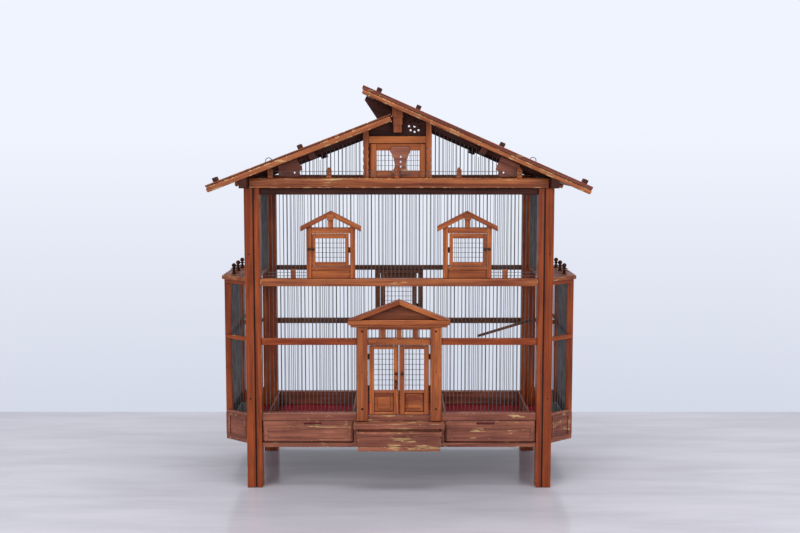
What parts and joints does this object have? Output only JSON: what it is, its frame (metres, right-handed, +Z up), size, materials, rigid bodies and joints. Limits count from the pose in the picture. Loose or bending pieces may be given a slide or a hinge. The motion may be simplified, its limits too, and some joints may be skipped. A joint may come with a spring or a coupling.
{
  "type": "bird cage on stand",
  "caption": "Wooden chalet-shaped aviary on four legs, with wire walls, side bays, two-leaf mesh door, small dormer doors, slide-out floor trays and an uneven pitched roof.",
  "frame": {"origin": "on the floor, in the middle of the footprint", "axes": "+X to the right, -Y to the front with the doors, +Z up"},
  "size_m": [1.2356, 0.63, 1.3176],
  "materials": {
    "varnished_wood": "reddish-brown varnish, semi-gloss, worn on the edges",
    "worn_base_wood": "faded reddish-brown varnish with bare yellow patches",
    "tray_wood": "faded reddish-brown varnish on the tray fronts, red inside",
    "dark_wood": "dark brown stained wood",
    "bare_wood": "unvarnished aged grey-brown wood",
    "roof_wood": "dull reddish-brown varnished boards",
    "red_floor": "dark red painted boards",
    "galvanised_wire": "dull grey galvanised wire",
    "blackened_iron": "blackened iron",
    "zinc_sheet": "dull zinc sheet"
  },
  "bodies": {
    "root": {"balcony_shelf": "varnished_wood", "barge_boards": "varnished_wood", "base_back_board": "worn_base_wood", "base_bay_panels": "worn_base_wood", "base_bottom_board": "bare_wood", "base_front_rails": "worn_base_wood", "bay_balconies": "varnished_wood", "bay_corner_posts": "varnished_wood", "bay_finials": "dark_wood", "bay_rails": "varnished_wood", "corner_posts": "varnished_wood", "cornices": "varnished_wood", "dormers": "varnished_wood", "entrance_steps": "worn_base_wood", "feeders": "zinc_sheet", "fixed_floors": "red_floor", "fixed_iron": "blackened_iron", "front_mid_rails": "varnished_wood", "gable_frame": "varnished_wood", "gable_fretwork": "worn_base_wood", "gable_window_frame": "varnished_wood", "gable_window_mesh": "galvanised_wire", "king_pendant": "varnished_wood", "perches": "bare_wood", "portico": "varnished_wood", "portico_pediment": "varnished_wood", "railing_posts": "varnished_wood", "railing_wires": "galvanised_wire", "rear_door_frame": "bare_wood", "rear_rails": "bare_wood", "ridge_panels": "dark_wood", "roof_battens": "dark_wood", "roof_boards_left": "roof_wood", "roof_boards_right": "roof_wood", "roof_handles": "galvanised_wire", "roof_rafters": "dark_wood", "roof_timbers": "dark_wood", "top_plates": "dark_wood", "wires_bays": "galvanised_wire", "wires_front": "galvanised_wire", "wires_gables": "galvanised_wire", "wires_rear": "galvanised_wire", "wires_sides": "galvanised_wire"},
    "door_left": {"door_leaf_left": "varnished_wood", "door_iron_left": "blackened_iron"},
    "door_right": {"door_leaf_right": "varnished_wood", "door_iron_right": "blackened_iron"},
    "dormer_door_l": {"dormer_door_left": "varnished_wood", "dormer_iron_left": "blackened_iron"},
    "dormer_door_r": {"dormer_door_right": "varnished_wood", "dormer_iron_right": "blackened_iron"},
    "rear_door": {"rear_door": "bare_wood", "rear_door_iron": "blackened_iron"},
    "main_hook": {"main_hook": "blackened_iron"},
    "dormer_hook_l": {"dormer_hook_left": "blackened_iron"},
    "dormer_hook_r": {"dormer_hook_right": "blackened_iron"},
    "tray_l": {"tray_left": "tray_wood"},
    "tray_r": {"tray_right": "tray_wood"}
  },
  "joints": [
    {"name": "door_left_hinge", "type": "hinge", "parent": "root", "child": "door_left", "pos_m": [-0.1005, -0.25, 0.36], "axis": [0, 0, -1], "range_deg": [0, 100]},
    {"name": "door_right_hinge", "type": "hinge", "parent": "root", "child": "door_right", "pos_m": [0.1005, -0.25, 0.36], "axis": [0, 0, 1], "range_deg": [0, 100]},
    {"name": "dormer_left_hinge", "type": "hinge", "parent": "root", "child": "dormer_door_l", "pos_m": [-0.1615, -0.254, 0.791], "axis": [0, 0, 1], "range_deg": [0, 100]},
    {"name": "dormer_right_hinge", "type": "hinge", "parent": "root", "child": "dormer_door_r", "pos_m": [0.1615, -0.254, 0.791], "axis": [0, 0, -1], "range_deg": [0, 100]},
    {"name": "rear_door_hinge", "type": "hinge", "parent": "root", "child": "rear_door", "pos_m": [0.0675, 0.25, 0.585], "axis": [0, 0, -1], "range_deg": [0, 100]},
    {"name": "main_hook_swing", "type": "hinge", "parent": "door_left", "child": "main_hook", "pos_m": [-0.01, -0.253, 0.358], "axis": [0, 1, 0], "range_deg": [0, 80]},
    {"name": "dormer_left_hook_lift", "type": "hinge", "parent": "dormer_door_l", "child": "dormer_hook_l", "pos_m": [-0.278, -0.257, 0.793], "axis": [0, 1, 0], "range_deg": [0, 100]},
    {"name": "dormer_right_hook_lift", "type": "hinge", "parent": "dormer_door_r", "child": "dormer_hook_r", "pos_m": [0.278, -0.257, 0.793], "axis": [0, -1, 0], "range_deg": [0, 100]},
    {"name": "tray_left_slide", "type": "slide", "parent": "root", "child": "tray_l", "axis": [0, -1, 0], "range_m": [0, 0.4]},
    {"name": "tray_right_slide", "type": "slide", "parent": "root", "child": "tray_r", "axis": [0, -1, 0], "range_m": [0, 0.4]}
  ]
}
